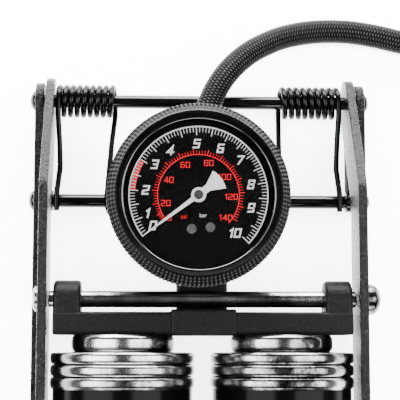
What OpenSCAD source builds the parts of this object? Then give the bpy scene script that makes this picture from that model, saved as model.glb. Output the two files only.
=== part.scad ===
// Folded twin-cylinder foot pump with a pressure gauge.
// Millimetres. +Z is up, +Y runs from the pedal to the hinge, +X is to the right of the gauge.
// Places along the pump are written as distances from the hinge axle towards the pedal.

/* [Frame] */
// Height of the hinge axle above the floor
hinge_z = 13; // [12.5:0.5:14]
// Radius of the hinge axle and of the cross rod
rod_r = 2.75; // [2.5:0.05:2.9]
// Thickness of the sheet steel rails
plate_t = 3.5; // [3:0.1:3.6]
// Height of the base rails
base_rail_h = 15; // [14:0.5:15]
// Width over the outer faces of the base rails
base_w = 135.5; // [135.3:0.1:136.5]
// Distance from the hinge to the tail of the base rails
base_tail = 275; // [272:1:280]
// Distance from the hinge to the cross rod
cross_rod_at = 41.5; // [41:0.5:42]

/* [Lever] */
// Height of the lever rails
lever_rail_h = 19; // [18:0.5:19]
// Width over the outer faces of the lever rails
lever_w = 126.8; // [126.4:0.1:127]
// Distance from the hinge to the bend where the lever rails turn level
bend_at = 41; // [40:0.5:42]
// Height of the middle of the level stretch
level_z = 38; // [37.5:0.5:38]
// Distance from the hinge to the head axle
head_axle_at = 82.7; // [82.5:0.1:83]
// Radius of the chrome head axle
head_axle_r = 3.25; // [3:0.05:3.3]
// Distance from the hinge to the far edge of the pedal
pedal_end = 298.5; // [296:0.5:302]

/* [Cylinders] */
// Half the distance between the two cylinder axes
cyl_x = 31; // [30.8:0.1:31]
// Height of the cylinder axes
cyl_z = 34; // [34:0.5:34.5]
// Outer radius of the barrels
barrel_r = 27; // [26:0.5:27]
// Outer radius of the ribbed caps
cap_r = 28; // [27.5:0.5:28]
// Wall of the barrels
barrel_wall = 1.5; // [1:0.1:1.6]
// Distance from the hinge to the piston rods' pivot
rod_pivot_at = 262; // [262:1:264]

/* [Gauge] */
// Distance from the hinge to the middle of the gauge
gauge_at = 43.8; // [43.4:0.2:44]
// How far the gauge sits to the left of the pump's middle
gauge_left = 2.4; // [2:0.1:2.6]
// Outer radius of the knurled bezel
bezel_r = 35; // [34.8:0.1:35.2]
// Height of the back of the gauge case
case_z = 32; // [32:0.1:32.4]
// Height of the dial
dial_z = 53; // [52:0.5:53]

/* [Spring] */
// Radius of the spring wire
wire_r = 1.15; // [1:0.05:1.17]
// Mean radius of the spring's coils
coil_mean_r = 5.8; // [5.6:0.1:6]
// Turns in each coil pack
coil_turns = 8; // [6:1:8]
// Distance from turn to turn
coil_pitch = 2.8; // [2.75:0.05:2.85]

/* [Hose] */
// Radius of the hose
hose_r = 5.1; // [4.6:0.1:5.1]
// Turns in the coil of hose
hose_turns = 1.21667; // [1.21667]
// Radius of the hose coil's outer turn
hose_coil_r = 60; // [60:1:62]

/* [Hidden] */
$fn = 48;

// fits: a shaft that turns or slides, and a pin that is held still
running = 0.05;
held = 0.02;

// the hinge lies this far behind the origin, so that the pump is centred on it
nose_r = lever_rail_h / 2;
hinge_y = (pedal_end - nose_r) / 2;
function at(u) = hinge_y - u;

// inner and outer faces of the rails
base_out = base_w / 2;
base_in = base_out - plate_t;
lever_out = lever_w / 2;
lever_in = lever_out - plate_t;
foot_h = 5.5;
base_top = foot_h + base_rail_h;
level_low = level_z - lever_rail_h / 2;
level_top = level_z + lever_rail_h / 2;

// hinge pin and rivets
mushroom_r = 4.2;
mushroom_t = 2.6;

// rear bracket
web_t = 3;
ear_t = 3;
ear_r = 8;
ear_from = 6;
rear_axle_r = 3;
bracket_half = 12;

// lever and pedal
lever_end = 288;
pedal_from = 243;
pedal_t = 2.5;
pad_t = 5;
flange_t = 2;
pedal_rivet_at = [258, 277];
pedal_rivet_r = 2;
latch_at = 281;
latch_z = 33;
latch_r = 2.5;

// head of the cylinders
manifold_from = 87.7;
manifold_to = 96.5;
manifold_low = 22;
manifold_top = 46;
head_axle_z = 38.5;
ear_in = 47;
ear_out = 57.6;
boss_r = 7.25;
neck_w = 20;
neck_low = 17.8;
neck_from = 36;
port_z = 23.2;
port_r = 5.4;
collar_r = 20;
cap_from = 103;
cap_to = 117;
barrel_from = 115;
barrel_to = 234;
end_cap_from = 231;
end_cap_to = 238;
piston_from = 112;
piston_len = 12;
piston_rod_r = 4;

// gauge
case_r = 33;
case_wall = 1.5;
case_top = 56;
lens_t = 2;
stem_r = 6;
arbor_r = 0.8;
tube_r = 1.5;
tube_bend_r = 22;
pointer_len = 26;

// tangents and steady ring frames for a wire or hose carried along points
function unit(v) = v / norm(v);
function tangent(p, i) = unit(p[min(i + 1, len(p) - 1)] - p[max(i - 1, 0)]);
function side_step(n, t) = unit(n - (n * t) * t);
function sides_of(p, first) = [
    for (i = 0, n = side_step(first, tangent(p, 0)); i < len(p);
         i = i + 1, n = side_step(n, tangent(p, min(i, len(p) - 1)))) n
];

// an unbroken round tube through the points p, with flat ends
module swept_tube(p, r, sides, first) {
    n = sides_of(p, first);
    last = len(p) - 1;
    points = [
        for (i = [0:last]) for (k = [0:sides - 1])
            let (b = cross(tangent(p, i), n[i]), a = 360 * k / sides)
            p[i] + r * (cos(a) * n[i] + sin(a) * b)
    ];
    walls = [
        for (i = [0:last - 1]) for (k = [0:sides - 1])
            let (a = i * sides + k, b = i * sides + (k + 1) % sides)
            each [[a, a + sides, b], [b, a + sides, b + sides]]
    ];
    caps = [
        for (k = [1:sides - 2])
            each [[0, k, k + 1], [last * sides, last * sides + k + 1, last * sides + k]]
    ];
    polyhedron(points, concat(walls, caps), convexity = 10);
}

// a sheet seen from the side, drawn as (y, z) and given its thickness along x
module sheet(x, t) {
    translate([x, 0, 0])
        rotate([90, 0, 90])
            linear_extrude(t) children();
}

// a round bar across the pump, from x0 to x1
module across(u, z, r, x0, x1) {
    translate([x0, at(u), z])
        rotate([0, 90, 0]) cylinder(r = r, h = x1 - x0);
}

// a round bar along the pump, from u0 to u1
module along(x, z, r, u0, u1) {
    translate([x, at(u0), z])
        rotate([90, 0, 0]) cylinder(r = r, h = u1 - u0);
}

// a turned shape about an axis along the pump: outline of [radius, distance from the hinge]
module turned(x, z, outline) {
    translate([x, at(0), z])
        rotate([90, 0, 0])
            rotate_extrude($fn = 64) polygon(outline);
}

// a box given by its x, distance and z ranges
module block(x, u, z) {
    translate([x[0], at(u[1]), z[0]])
        cube([x[1] - x[0], u[1] - u[0], z[1] - z[0]]);
}

module disc2d(u, z, r) {
    translate([at(u), z]) circle(r = r);
}

// ---- base frame ----

module base_rail(x) {
    color("dimgray")
        sheet(x, plate_t)
            difference() {
                union() {
                    disc2d(0, hinge_z, base_rail_h / 2);
                    translate([at(base_tail), foot_h])
                        square([base_tail, base_rail_h]);
                }
                disc2d(0, hinge_z, rod_r + held);
                disc2d(cross_rod_at, hinge_z, rod_r + held);
            }
}

module mushroom_bar(u, z, r) {
    across(u, z, r, -base_out - mushroom_t / 2, base_out + mushroom_t / 2);
    for (s = [-1, 1])
        translate([s * base_out, at(u), z])
            rotate([0, s * 90, 0])
                rotate_extrude()
                    polygon([[0, 0], [mushroom_r, 0], [mushroom_r, 0.9], [mushroom_r - 0.9, 2],
                             [mushroom_r - 2.2, mushroom_t], [0, mushroom_t]]);
}

module hinge_axle() {
    color("black") mushroom_bar(0, hinge_z, rod_r);
}

module cross_rod() {
    color("black") mushroom_bar(cross_rod_at, hinge_z, rod_r);
}

// two collars keep the lever rails off the ends of the cross rod
module cross_rod_collars() {
    color([0.15, 0.15, 0.15])
        for (s = [-1, 1])
            translate([s * (base_in - 2) - 2, at(cross_rod_at), hinge_z])
                rotate([0, 90, 0])
                    difference() {
                        cylinder(r = rod_r + 1.4, h = 4);
                        translate([0, 0, -1]) cylinder(r = rod_r + held, h = 6);
                    }
}

module rear_bracket() {
    color("dimgray") {
        block([-base_in, base_in], [rod_pivot_at - bracket_half, rod_pivot_at + bracket_half],
              [base_top - web_t, base_top]);
        for (s = [-1, 1])
            for (x = [cyl_x - ear_from - ear_t, cyl_x + ear_from])
                sheet(s > 0 ? x : -x - ear_t, ear_t)
                    difference() {
                        union() {
                            disc2d(rod_pivot_at, cyl_z, ear_r);
                            translate([at(rod_pivot_at) - ear_r, base_top - 1])
                                square([2 * ear_r, cyl_z - base_top + 1]);
                        }
                        disc2d(rod_pivot_at, cyl_z, rear_axle_r + held);
                    }
    }
}

module rear_axle() {
    end = cyl_x + ear_from + ear_t;
    color("silver") {
        across(rod_pivot_at, cyl_z, rear_axle_r, -end, end);
        for (s = [-1, 1])
            across(rod_pivot_at, cyl_z, rear_axle_r + 2, s > 0 ? end : -end - 2, s > 0 ? end + 2 : -end);
    }
}

// an open-topped spring clip: its two fingers stand either side of the latch pin
module latch_clip() {
    gap = latch_r + 0.8;
    finger = 1.6;
    foot_from = rod_pivot_at + bracket_half - 6;
    color("silver") {
        block([-8, 8], [foot_from, latch_at + gap + finger], [base_top, base_top + 1.6]);
        for (u = [latch_at - gap - finger, latch_at + gap])
            block([-8, 8], [u, u + finger], [base_top, latch_z + 4]);
    }
}

// rubber feet under the base rails, each with a lip on the inside of its rail
module foot_pads() {
    color([0.1, 0.1, 0.1])
        for (s = [-1, 1])
            for (u = [16, 246])
                difference() {
                    block([s > 0 ? base_in - 2 : -base_out, s > 0 ? base_out : -base_in + 2],
                          [u, u + 24], [0, foot_h + 2]);
                    block([s > 0 ? base_in : -base_out, s > 0 ? base_out : -base_in],
                          [u - 1, u + 25], [foot_h, foot_h + 4]);
                }
}

// Double torsion spring: leg, coil pack, bridge, coil pack, leg, in one wire.
pack_in = 34.7;
pack_out = pack_in + coil_turns * coil_pitch;
outer_leg_u = 46;
bridge_u = 54;
bridge_z = neck_low - wire_r - 0.05;
rod_pass_z = hinge_z + rod_r + wire_r + 0.1;
leg_low_z = hinge_z - coil_mean_r;
leg_high_z = hinge_z + coil_mean_r;
rings = 8;
// the left half is wound a little closer and further out than the right one, and its inner leg
// leans outwards on the way to the cross rod
left_scale = 0.966;
left_shift = 3.3;
left_lean = 3.2;

// the left pack starts on top, at its outer end, and ends underneath after the last half turn
function pack_point(a) = [
    -pack_out + coil_pitch * a / 360,
    at(0) + coil_mean_r * sin(a),
    hinge_z + coil_mean_r * cos(a)
];
coil_angles = [for (i = [0:coil_turns * rings + rings / 2]) i * 360 / rings];
left_wire = concat(
    [[-pack_out - 0.15, at(outer_leg_u), rod_pass_z],
     [-pack_out - 0.15, at(outer_leg_u - 8), rod_pass_z + 0.3],
     [-pack_out + 1.2, at(outer_leg_u - 18), rod_pass_z + 0.6],
     [-pack_out, at(8), leg_high_z - 0.2]],
    [for (a = coil_angles) pack_point(a)],
    [[-pack_in + 1.6, at(8), leg_low_z + 0.8],
     [-pack_in + 1.9, at(34), rod_pass_z - 0.3],
     [-pack_in + 1.9, at(44), rod_pass_z + 0.1],
     [-pack_in + 4, at(bridge_u - 5), bridge_z],
     [-pack_in + 9, at(bridge_u), bridge_z]]
);
right_wire = [for (i = [len(left_wire) - 1:-1:0]) [-left_wire[i][0], left_wire[i][1], left_wire[i][2]]];
function lean(p) = p[0] > -pack_in && p[1] < at(20) && p[1] > at(46) ? left_lean : 0;
spring_wire = concat(
    [for (p = left_wire) [left_scale * p[0] - left_shift - lean(p), p[1], p[2]]],
    right_wire
);

module torsion_spring() {
    color([0.12, 0.12, 0.12])
        swept_tube(spring_wire, wire_r, 6, [1, 0, 0]);
}

// least gap between stretches of a wire that are more than `skip` points apart
function least_gap(p, r, skip) = min([
    for (i = [0:len(p) - 1 - skip]) min([for (j = [i + skip:len(p) - 1]) norm(p[i] - p[j])])
]) - 2 * r;

// ---- lever frame ----

module lever_outline() {
    slope = atan2(level_z - hinge_z, bend_at);
    run = norm([bend_at, level_z - hinge_z]);
    end_round = 9;
    disc2d(0, hinge_z, nose_r);
    translate([at(0), hinge_z])
        rotate(180 - slope)
            translate([0, -nose_r]) square([run, 2 * nose_r]);
    disc2d(bend_at, level_z, nose_r);
    translate([at(lever_end - end_round), level_low])
        square([lever_end - end_round - bend_at, lever_rail_h]);
    translate([at(lever_end), level_low])
        square([end_round + 1, lever_rail_h - end_round]);
    disc2d(lever_end - end_round, level_top - end_round, end_round);
}

module lever_rail(x) {
    color("dimgray")
        sheet(x, plate_t)
            difference() {
                lever_outline();
                disc2d(0, hinge_z, rod_r + running);
                disc2d(head_axle_at, head_axle_z, head_axle_r + held);
                disc2d(latch_at, latch_z, latch_r + held);
                for (u = pedal_rivet_at)
                    disc2d(u, level_z + 2, pedal_rivet_r + held);
            }
}

// a domed rivet on a short stub that fills its rail: r and h are the radius and height of its head
module domed_rivet(s, r, h) {
    dome = [for (a = [0:15:90]) [r * cos(a), plate_t + h * (0.35 + 0.65 * sin(a))]];
    translate([s * lever_in, at(head_axle_at), head_axle_z])
        rotate([0, s * 90, 0])
            rotate_extrude()
                polygon(concat([[0, 0.3], [head_axle_r, 0.3], [head_axle_r, plate_t], [r, plate_t]],
                               [for (p = dome) [max(p[0], 0), p[1]]]));
}

// the left one is the set end of the rivet, the right one its deep head
module head_axle_rivets() {
    color("silver") {
        domed_rivet(-1, 4.9, 2.6);
        domed_rivet(1, 6.1, 6);
    }
}

module pedal_plate() {
    color("dimgray") {
        block([-lever_out, lever_out], [pedal_from, pedal_end], [level_top, level_top + pedal_t]);
        for (s = [-1, 1])
            difference() {
                block([s > 0 ? lever_in - flange_t : -lever_in, s > 0 ? lever_in : -lever_in + flange_t],
                      [pedal_from + 6, lever_end - 2], [level_z - 5, level_top + 1]);
                for (u = pedal_rivet_at)
                    across(u, level_z + 2, pedal_rivet_r + held, -lever_out, lever_out);
                across(latch_at, latch_z, latch_r + held, -lever_out, lever_out);
            }
    }
}

// a rubber tread with ribs across it
module pedal_pad() {
    pad_low = level_top + pedal_t;
    rib = 3.6;
    color([0.1, 0.1, 0.1]) {
        block([-lever_out + 3, lever_out - 3], [pedal_from + 2, pedal_end - 2], [pad_low, pad_low + 3]);
        for (i = [0:6])
            block([-lever_out + 5, lever_out - 5],
                  [pedal_from + 5 + i * 2 * rib, pedal_from + 5 + rib + i * 2 * rib],
                  [pad_low + 2.9, pad_low + pad_t]);
    }
}

module pedal_rivets() {
    color("silver")
        for (s = [-1, 1])
            for (u = pedal_rivet_at)
                translate([s * (lever_in - flange_t - 0.8), at(u), level_z + 2])
                    rotate([0, s * 90, 0])
                        rotate_extrude()
                            polygon([[0, 0], [3.4, 0], [3.4, 0.8], [pedal_rivet_r, 0.8],
                                     [pedal_rivet_r, flange_t + plate_t + 0.8],
                                     [3.4, flange_t + plate_t + 0.8], [2.6, flange_t + plate_t + 2],
                                     [0, flange_t + plate_t + 2.2]]);
}

module latch_pin() {
    color("silver") across(latch_at, latch_z, latch_r, -lever_out, lever_out);
}

// ---- piston rods ----

module piston_rod(x) {
    eye_r = 7;
    color("silver")
        difference() {
            union() {
                along(x, cyl_z, piston_rod_r, piston_from, rod_pivot_at - 5);
                along(x, cyl_z, 2.5, piston_from - 6, piston_from + 1);
                across(rod_pivot_at, cyl_z, eye_r, x - 5, x + 5);
            }
            across(rod_pivot_at, cyl_z, rear_axle_r + running, x - 6, x + 6);
        }
}

// cup of the piston, with a groove for its seal
module piston(x) {
    r = barrel_r - barrel_wall - 0.5;
    u0 = piston_from;
    u1 = piston_from + piston_len;
    color("white")
        turned(x, cyl_z, [[piston_rod_r + held, u0], [r, u0], [r, u0 + 4], [r - 2.5, u0 + 4],
                          [r - 2.5, u1 - 4], [r, u1 - 4], [r, u1], [piston_rod_r + held, u1]]);
}

module piston_seal(x) {
    bore = barrel_r - barrel_wall;
    color([0.1, 0.1, 0.1])
        turned(x, cyl_z, [[bore - 3 + held, piston_from + 4 + held], [bore - running, piston_from + 4 + held],
                          [bore - running, piston_from + piston_len - 4 - held],
                          [bore - 3 + held, piston_from + piston_len - 4 - held]]);
}

module piston_nuts() {
    color("silver")
        for (x = [-cyl_x, cyl_x])
            difference() {
                translate([x, at(piston_from - 4), cyl_z])
                    rotate([90, 0, 0]) cylinder(r = 5.5, h = 3.9, $fn = 6);
                along(x, cyl_z, 2.5 + held, piston_from - 5, piston_from + 1);
            }
}

// ---- cylinders and head ----

// pivot ear on the end of the crossbar, with a rounded corner
module manifold_ear(x0) {
    sheet(x0, ear_out - ear_in) {
        disc2d(head_axle_at, head_axle_z, boss_r);
        translate([at(manifold_from + 1), head_axle_z - boss_r])
            square([manifold_from + 1 - head_axle_at, 2 * boss_r]);
    }
}

module head_manifold() {
    channel_u = (manifold_from + manifold_to) / 2;
    color([0.16, 0.16, 0.17])
        difference() {
            union() {
                block([-ear_out, ear_out], [manifold_from, manifold_to], [manifold_low, manifold_top]);
                block([-12.5, 12.5], [manifold_from - 1, manifold_to], [neck_low, manifold_top + 0.8]);
                manifold_ear(-ear_out);
                manifold_ear(ear_in);
                block([-neck_w / 2, neck_w / 2], [neck_from, manifold_from], [neck_low, case_z]);
            }
            for (s = [-1, 1]) {
                across(head_axle_at, head_axle_z, head_axle_r + held,
                       s > 0 ? ear_in - 1 : -ear_out - 1, s > 0 ? ear_out + 1 : -ear_in + 1);
                along(s * cyl_x, cyl_z, 2.5, channel_u, manifold_to + 1);
            }
            across(channel_u, cyl_z, 2.5, -cyl_x, cyl_x);
            along(0, port_z, 3.5, neck_from - 1, channel_u);
            translate([0, at(channel_u), port_z]) cylinder(r = 2.5, h = cyl_z - port_z);
            translate([-gauge_left, at(gauge_at), port_z]) cylinder(r = 3, h = case_z);
        }
}

// chrome axle across the two ears: the cylinders swing on it in the lever
module head_axle() {
    color("silver")
        across(head_axle_at, head_axle_z, head_axle_r, -lever_in + 0.3, lever_in - 0.3);
}

module collar(x) {
    bore = 2.5;
    color("silver")
        turned(x, cyl_z, [[bore, manifold_to], [collar_r - 0.8, manifold_to], [collar_r, manifold_to + 0.8],
                          [collar_r, cap_from], [bore, cap_from]]);
}

// chromed cap with three rounded ribs; the barrel stands in a socket inside the last rib
module head_cap(x) {
    rib_low = cap_r - 1.5;
    lip = cap_r - 0.4;
    bore = barrel_r - barrel_wall;
    socket = barrel_r + held;
    pitch = (cap_to - cap_from) / 3;
    ribs = [
        for (i = [0:2]) for (a = [0:30:i < 2 ? 180 : 120])
            [rib_low + (cap_r - rib_low) * sin(a), cap_from + pitch * (i + 0.5 - 0.46 * cos(a))]
    ];
    color("silver")
        turned(x, cyl_z, concat([[2.5, cap_from], [rib_low - 1, cap_from]], ribs,
                                [[lip, cap_to], [socket, cap_to], [socket, barrel_from],
                                 [bore, barrel_from], [bore, cap_from + 3], [2.5, cap_from + 3]]));
}

module barrel(x) {
    color([0.05, 0.05, 0.05])
        turned(x, cyl_z, [[barrel_r - barrel_wall, barrel_from], [barrel_r, barrel_from],
                          [barrel_r, barrel_to], [barrel_r - barrel_wall, barrel_to]]);
}

module end_cap(x) {
    inner = barrel_r + 0.02;
    hub = 6.5;
    color([0.12, 0.12, 0.12])
        turned(x, cyl_z, [[inner, end_cap_from], [cap_r, end_cap_from], [cap_r, end_cap_to - 1.5],
                          [cap_r - 1.5, end_cap_to], [hub, end_cap_to], [hub, barrel_to],
                          [inner, barrel_to]]);
}

module guide_bush(x) {
    color("white")
        turned(x, cyl_z, [[piston_rod_r + running, barrel_to - 3], [8, barrel_to - 3], [8, barrel_to - 0.02],
                          [6.5 - held, barrel_to - 0.02], [6.5 - held, end_cap_to + 1.5],
                          [piston_rod_r + running, end_cap_to + 1.5]]);
}

// rubber flap on a perforated seat, inside the neck
module outlet_valve() {
    color([0.5, 0.1, 0.1])
        turned(0, port_z, [[0.8, 70], [3.5 - held, 70], [3.5 - held, 72], [0.8, 72]]);
}

module hose_port() {
    color("darkgray")
        turned(0, port_z, [[2, neck_from + 6], [2, neck_from - 6], [4.6, neck_from - 6],
                           [port_r, neck_from - 5.2], [port_r, neck_from], [3.5 - held, neck_from],
                           [3.5 - held, neck_from + 6]]);
}

// ---- gauge ----

// a turned gauge piece: outline of [radius, height]
module gauge_ring(outline) {
    translate([-gauge_left, at(gauge_at), 0])
        rotate_extrude($fn = 96) polygon(outline);
}

module gauge_case() {
    color([0.12, 0.12, 0.12])
        gauge_ring([[stem_r + held, case_z], [case_r - 1.5, case_z], [case_r, case_z + 1.5],
                    [case_r, case_top], [case_r - case_wall, case_top],
                    [case_r - case_wall, case_z + case_wall], [stem_r + held, case_z + case_wall]]);
}

module gauge_stem() {
    color("goldenrod")
        difference() {
            gauge_ring([[0, case_z], [stem_r, case_z], [stem_r, case_z + 3],
                        [stem_r + 2, case_z + 3], [stem_r + 2, case_z + 9], [0, case_z + 9]]);
            translate([-gauge_left, at(gauge_at), case_z - 1]) cylinder(r = 1.5, h = 6);
        }
}

// flattened brass tube bent into a C, which opens as the pressure rises
module bourdon_tube() {
    color("goldenrod")
        translate([-gauge_left, at(gauge_at), case_z + 12])
            rotate([0, 0, -60])
                rotate_extrude(angle = 280, $fn = 64)
                    translate([tube_bend_r, 0])
                        difference() {
                            square([2 * tube_r, 4 * tube_r], center = true);
                            square([tube_r, 3 * tube_r], center = true);
                        }
}

module gauge_movement() {
    color("goldenrod")
        translate([-gauge_left, at(gauge_at), case_z])
            difference() {
                union() {
                    for (z = [9, 17])
                        translate([-8, -7, z]) cube([16, 14, 1.5]);
                    for (x = [-6, 6])
                        translate([x, -4.5, 10.4]) cylinder(r = 1.5, h = 6.7);
                }
                translate([0, 0, 8]) cylinder(r = arbor_r + running, h = 12);
            }
}

// thin dial plate with the stop pin that the pointer rests against
module gauge_dial() {
    stop_r = 0.6;
    stop_at = 16.7;
    stop_angle = 222;
    color([0.08, 0.08, 0.08]) {
        gauge_ring([[arbor_r + 0.6, dial_z], [case_r - case_wall - 0.2, dial_z],
                    [case_r - case_wall - 0.2, dial_z + 0.8], [arbor_r + 0.6, dial_z + 0.8]]);
        translate([-gauge_left, at(gauge_at), dial_z + 0.7])
            rotate(stop_angle)
                translate([stop_at, 0, 0]) cylinder(r = stop_r, h = 1.6);
    }
}

module dial_screws() {
    color("gray")
        for (p = [[-2.6, -12.9], [4.5, -12.3]])
            translate([p[0] - gauge_left, at(gauge_at) + p[1], dial_z + 0.8])
                difference() {
                    cylinder(r = 1.8, h = 0.4);
                    translate([-2, -0.25, 0.2]) cube([4, 0.5, 1]);
                }
}

// crimped and knurled bezel: the knurled face slopes up to a smooth ring round the glass
module gauge_bezel() {
    color([0.25, 0.25, 0.25])
        gauge_ring([[case_r + held, case_top - 7], [bezel_r - 0.4, case_top - 7], [bezel_r, case_top - 6.5],
                    [bezel_r, case_top + 0.5], [bezel_r - 3.3, case_top + 4.8],
                    [bezel_r - 3.7, case_top + 5.6], [bezel_r - 4.1, case_top + 5.6],
                    [bezel_r - 5.5, case_top + 3.6], [bezel_r - 5.5, case_top + lens_t],
                    [case_r + held, case_top + lens_t]]);
}

module gauge_lens() {
    color([0.8, 0.9, 1, 0.3])
        gauge_ring([[0, case_top], [case_r, case_top], [case_r, case_top + lens_t], [0, case_top + lens_t]]);
}

// needle at zero, with its fan-shaped tail, its hub and its arbor
module gauge_pointer() {
    zero_angle = 216.7;
    color([0.75, 0.75, 0.75])
        translate([-gauge_left, at(gauge_at), 0]) {
            translate([0, 0, dial_z + 1.4])
                rotate(zero_angle)
                    linear_extrude(0.5)
                        polygon([[pointer_len, 0], [4, 0.75], [0, 2], [-9, 4.4], [-10.4, 3.2],
                                 [-10.8, 0], [-10.4, -3.2], [-9, -4.4], [0, -2], [4, -0.75]]);
            translate([0, 0, dial_z + 1]) cylinder(r = 2.8, h = 1.5);
            translate([0, 0, case_z + 12]) cylinder(r = arbor_r, h = dial_z - case_z - 11);
        }
}

// ---- hose and tyre connector ----

// the hose's way from the port over the hinge axle and along the floor: [x, from the hinge, z]
hose_route = [
    [0, 28, 23.2], [0, 24, 23.2], [0, 19, 23.2], [0.3, 14, 23.2], [1.6, 7.3, 23.2], [4.1, 0.5, 23],
    [7.4, -6, 22.3], [11.5, -11.8, 20.8], [16.3, -17, 18.7], [21.6, -21.4, 16.2],
    [27.5, -25.1, 13.4], [34, -28.4, 10.6], [42, -31, 8], [50, -32.5, 6.2], [58, -33, 5.3],
    [66, -32.6, 5.1], [75, -31.2, 5.1], [84, -29.2, 5.1], [96, -26.5, 5.1], [108, -23.8, 5.1],
    [120, -21.1, 5.1], [132, -18.4, 5.1], [144, -15.7, 5.1], [156, -13, 5.1], [167, -10.6, 5.1]
];
coil_start = 78;
coil_climb_from = 0.72;
coil_top_z = 17.6;
loop_rings = 24;
loop_step = 2 * hose_r + 1;
hose_end = hose_route[len(hose_route) - 1];
coil_cx = hose_end[0] - hose_coil_r * cos(coil_start);
coil_cy = at(hose_end[1]) - hose_coil_r * sin(coil_start);

function smooth(s) = s * s * (3 - 2 * s);
function clamp01(s) = min(max(s, 0), 1);
function loop_point(t) =
    let (r = hose_coil_r - loop_step * t, a = coil_start - 360 * t,
         lift = smooth(clamp01((t - coil_climb_from) / (hose_turns - coil_climb_from))))
    [coil_cx + r * cos(a), coil_cy + r * sin(a), hose_r + (coil_top_z - hose_r) * lift];
loop_count = round(hose_turns * loop_rings);
loop_points = [for (i = [0:loop_count]) loop_point(hose_turns * i / loop_count)];
tip_x = loop_points[loop_count][0];
tip_y = loop_points[loop_count][1];
straight_end = 2 * hose_r + 2;
hose_path = concat(
    [loop_points[0] - [cos(coil_start - 90), sin(coil_start - 90), 0] * 0.01],
    [for (i = [1:loop_count - 1]) loop_points[i]],
    [[tip_x, tip_y, coil_top_z], [tip_x, tip_y - straight_end, coil_top_z]]
);
chuck_y = tip_y - straight_end;

module hose_run() {
    color([0.1, 0.1, 0.1])
        swept_tube([for (p = hose_route) [p[0], at(p[1]), p[2]]], hose_r, 10, [0, 0, 1]);
}

module hose_coil() {
    color([0.1, 0.1, 0.1])
        swept_tube(hose_path, hose_r, 6, [0, 0, 1]);
}

// crimped sleeve on the pump end of the hose
module hose_ferrule() {
    color("darkgray")
        turned(0, port_z, [[hose_r + 0.15, 19], [6.3, 19], [6.3, 27.5], [hose_r + 0.15, 27.5]]);
}

// a turned shape on the tyre connector: outline of [radius, distance from the hose's end]
module on_tip(outline) {
    translate([tip_x, chuck_y, coil_top_z])
        rotate([90, 0, 0])
            rotate_extrude() polygon(outline);
}

module tip_ferrule() {
    color("darkgray")
        on_tip([[hose_r + 0.1, -10], [6.3, -10], [6.3, 0], [hose_r + 0.1, 0]]);
}

chuck_len = 34;
chuck_r = 8;
valve_r = 4;
lever_pivot = 24;
lever_pivot_z = coil_top_z + chuck_r + 2.5;

module connector_body() {
    color([0.1, 0.1, 0.1])
        difference() {
            union() {
                on_tip([[0, 0], [7, 0], [chuck_r, 1.5], [chuck_r, chuck_len - 1.5], [7, chuck_len],
                        [0, chuck_len]]);
                for (x = [-6.5, 4])
                    translate([tip_x + x, chuck_y - lever_pivot - 4, coil_top_z + 3])
                        cube([2.5, 8, chuck_r + 3]);
            }
            on_tip([[0, chuck_len - 14], [valve_r, chuck_len - 14], [valve_r, chuck_len - 5],
                    [6 + held, chuck_len - 5], [6 + held, chuck_len + 1], [0, chuck_len + 1]]);
            on_tip([[0, -1], [1.5, -1], [1.5, chuck_len - 13], [0, chuck_len - 13]]);
            translate([tip_x - 10, chuck_y - lever_pivot, lever_pivot_z])
                rotate([0, 90, 0]) cylinder(r = 1.2 + held, h = 20);
        }
}

module connector_seal() {
    color([0.2, 0.2, 0.2])
        on_tip([[valve_r, chuck_len - 5], [6, chuck_len - 5], [6, chuck_len], [valve_r, chuck_len]]);
}

module connector_pin() {
    color("silver")
        translate([tip_x - 7, chuck_y - lever_pivot, lever_pivot_z])
            rotate([0, 90, 0]) cylinder(r = 1.2, h = 14);
}

// thumb lever, lying back over the hose
module thumb_lever() {
    reach = 26;
    color([0.1, 0.1, 0.1])
        difference() {
            union() {
                translate([tip_x - 3.7, chuck_y - lever_pivot, lever_pivot_z])
                    rotate([0, 90, 0]) cylinder(r = 2.3, h = 7.4);
                translate([tip_x - 3.7, chuck_y - lever_pivot, lever_pivot_z])
                    cube([7.4, reach, 2.3]);
                translate([tip_x - 7, chuck_y - lever_pivot + 8, lever_pivot_z])
                    cube([14, reach - 8, 2.3]);
            }
            translate([tip_x - 5, chuck_y - lever_pivot, lever_pivot_z])
                rotate([0, 90, 0]) cylinder(r = 1.2 + running, h = 10);
        }
}

echo(spring_gap = least_gap(spring_wire, wire_r, rings - 1));
echo(hose_coil_gap = least_gap(hose_path, hose_r, loop_rings - 6));
echo(tip = [tip_x, tip_y, chuck_y], coil = [coil_cx, coil_cy]);

base_rail(-base_out);  // base_rail_left
base_rail(base_in);  // base_rail_right
hinge_axle();
cross_rod();
cross_rod_collars();
rear_bracket();
rear_axle();
latch_clip();
foot_pads();
torsion_spring();
lever_rail(-lever_out);  // lever_rail_left
lever_rail(lever_in);  // lever_rail_right
head_axle_rivets();
pedal_plate();
pedal_pad();
pedal_rivets();
latch_pin();
piston_rod(-cyl_x);  // piston_rod_left
piston_rod(cyl_x);  // piston_rod_right
piston(-cyl_x);  // piston_left
piston(cyl_x);  // piston_right
piston_seal(-cyl_x);  // piston_seal_left
piston_seal(cyl_x);  // piston_seal_right
piston_nuts();
head_manifold();
head_axle();
collar(-cyl_x);  // collar_left
collar(cyl_x);  // collar_right
head_cap(-cyl_x);  // head_cap_left
head_cap(cyl_x);  // head_cap_right
barrel(-cyl_x);  // barrel_left
barrel(cyl_x);  // barrel_right
end_cap(-cyl_x);  // end_cap_left
end_cap(cyl_x);  // end_cap_right
guide_bush(-cyl_x);  // guide_bush_left
guide_bush(cyl_x);  // guide_bush_right
outlet_valve();
hose_port();
gauge_case();
gauge_stem();
bourdon_tube();
gauge_movement();
gauge_dial();
dial_screws();
gauge_bezel();
gauge_lens();
gauge_pointer();
hose_ferrule();
hose_run();
hose_coil();
tip_ferrule();
connector_body();
connector_seal();
connector_pin();
thumb_lever();
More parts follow.
